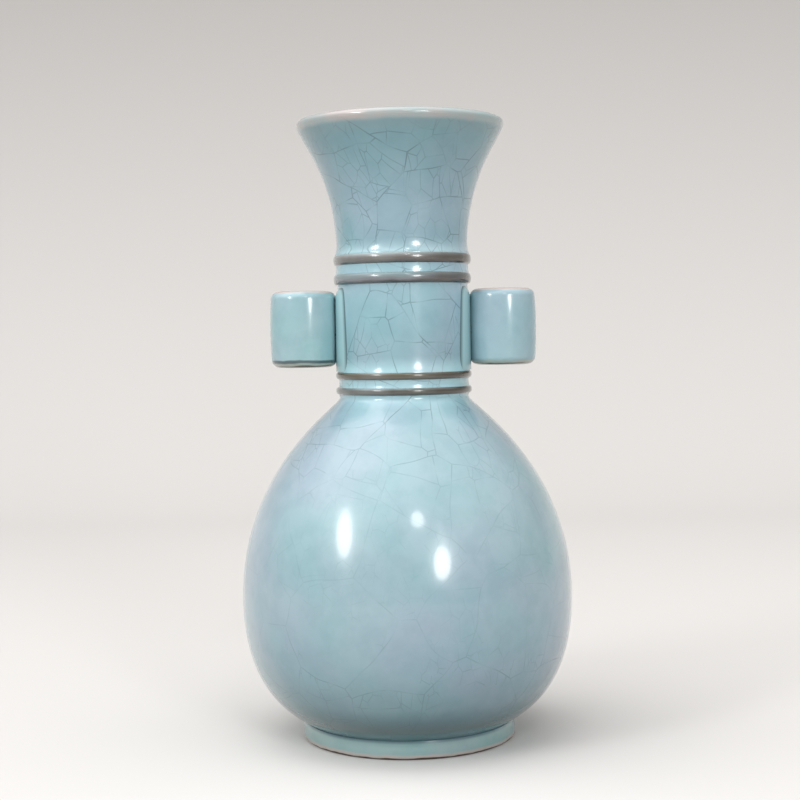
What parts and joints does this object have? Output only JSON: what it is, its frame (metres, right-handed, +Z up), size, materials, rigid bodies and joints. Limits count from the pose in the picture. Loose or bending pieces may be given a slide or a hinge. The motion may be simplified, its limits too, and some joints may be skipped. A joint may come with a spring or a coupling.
{
  "type": "vase",
  "caption": "Tall vase of crackled pale blue celadon: trumpet mouth, ridged neck with tubular lugs, ovoid body and foot ring; holds stems or stands as an ornament.",
  "frame": {"origin": "centre of the circle that the foot ring stands on", "axes": "+Z up along the vase's axis, the two lugs on +X and -X, the pictured front faces -Y"},
  "size_m": [0.1288, 0.1288, 0.24],
  "materials": {
    "celadon_glaze": "pale blue crackled celadon glaze, glossy",
    "thin_glaze": "brown stoneware through thin glaze, satin gloss",
    "foot_glaze": "celadon glaze with an unglazed brown standing edge"
  },
  "bodies": {
    "root": {"foot_ring": "foot_glaze", "base": "celadon_glaze", "lower_body": "celadon_glaze", "upper_body": "celadon_glaze", "shoulder": "celadon_glaze", "neck": "celadon_glaze", "mouth": "celadon_glaze", "lip": "celadon_glaze", "upper_ridge_1": "thin_glaze", "upper_ridge_2": "thin_glaze", "lower_ridge_1": "thin_glaze", "lower_ridge_2": "thin_glaze", "right_lug": "celadon_glaze", "right_lug_saddle": "celadon_glaze", "left_lug": "celadon_glaze", "left_lug_saddle": "celadon_glaze"}
  },
  "joints": []
}
